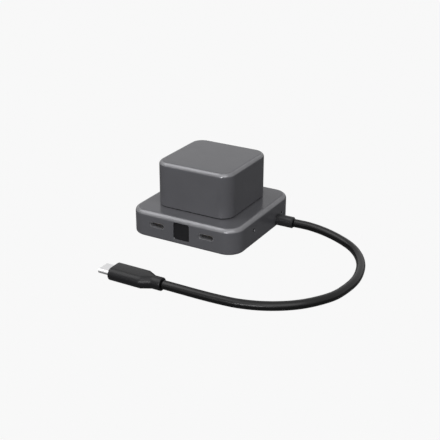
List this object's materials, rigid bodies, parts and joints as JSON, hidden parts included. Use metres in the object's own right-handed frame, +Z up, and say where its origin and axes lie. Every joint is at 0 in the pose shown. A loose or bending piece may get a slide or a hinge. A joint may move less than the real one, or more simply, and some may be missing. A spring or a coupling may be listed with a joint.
{
  "type": "usb-c hub",
  "caption": "Desk hub: a low rounded square base with front USB-C ports and a dark window, a square block on top, and a captive cable that ends in a USB-C plug",
  "frame": {"origin": "centre of the plane that the four feet stand on, under the middle of the base", "axes": "+X to the right along the front face, toward the cable outlet; +Y to the back, away from the two ports; +Z up through the block"},
  "size_m": [0.1302, 0.1175, 0.04],
  "materials": {
    "anodised_shell": "satin dark grey anodising",
    "black_plastic": "matte",
    "grip_plastic": "satin, fine grain",
    "cable_rubber": "satin",
    "soft_rubber": "matte",
    "dark_pane": "smooth, dark tinted",
    "clear_guide": "polished clear acrylic",
    "white_ceramic": "matte",
    "brown_ceramic": "matte",
    "port_steel": "bright nickel plate",
    "screw_steel": "zinc plate",
    "gold_contact": "gold plate",
    "standoff_brass": "turned",
    "board_laminate": "green solder resist",
    "chip_resin": "moulded epoxy",
    "ferrite": "matte sintered",
    "ivory_plastic": "matte",
    "wire_insulation": "smooth",
    "thermal_pad": "soft silicone",
    "bare_aluminium": "extruded",
    "capacitor_can": "shrink sleeve"
  },
  "bodies": {
    "root": {"base_shell": "anodised_shell", "bottom_cover": "black_plastic", "rubber_feet": "soft_rubber", "cover_screws": "screw_steel", "upper_housing": "anodised_shell", "seam_gasket": "soft_rubber", "housing_screws": "screw_steel", "status_window": "dark_pane", "window_light_guide": "clear_guide", "window_led": "white_ceramic", "front_light_lens": "dark_pane", "rear_light_lens": "dark_pane", "front_light_led": "white_ceramic", "rear_light_led": "white_ceramic", "left_port_shell": "port_steel", "right_port_shell": "port_steel", "left_port_tongue": "black_plastic", "right_port_tongue": "black_plastic", "left_port_contacts": "gold_contact", "right_port_contacts": "gold_contact", "main_board": "board_laminate", "board_screws": "screw_steel", "hub_chip": "chip_resin", "video_chip": "chip_resin", "shield_can": "port_steel", "flash_chip": "chip_resin", "crystal": "port_steel", "board_inductors": "ferrite", "board_capacitors": "brown_ceramic", "cable_header": "ivory_plastic", "lead_wires": "wire_insulation", "link_socket": "ivory_plastic", "link_header": "black_plastic", "power_board": "board_laminate", "power_standoffs": "standoff_brass", "power_screws": "screw_steel", "power_chip": "chip_resin", "chip_pad": "thermal_pad", "heat_sink": "bare_aluminium", "roof_pad": "thermal_pad", "power_inductor": "ferrite", "power_capacitors": "capacitor_can", "strain_relief": "cable_rubber", "cable": "cable_rubber", "plug_grip": "grip_plastic", "plug_tip": "port_steel", "plug_core": "black_plastic", "plug_contacts": "gold_contact", "plug_card": "board_laminate"}
  },
  "joints": []
}
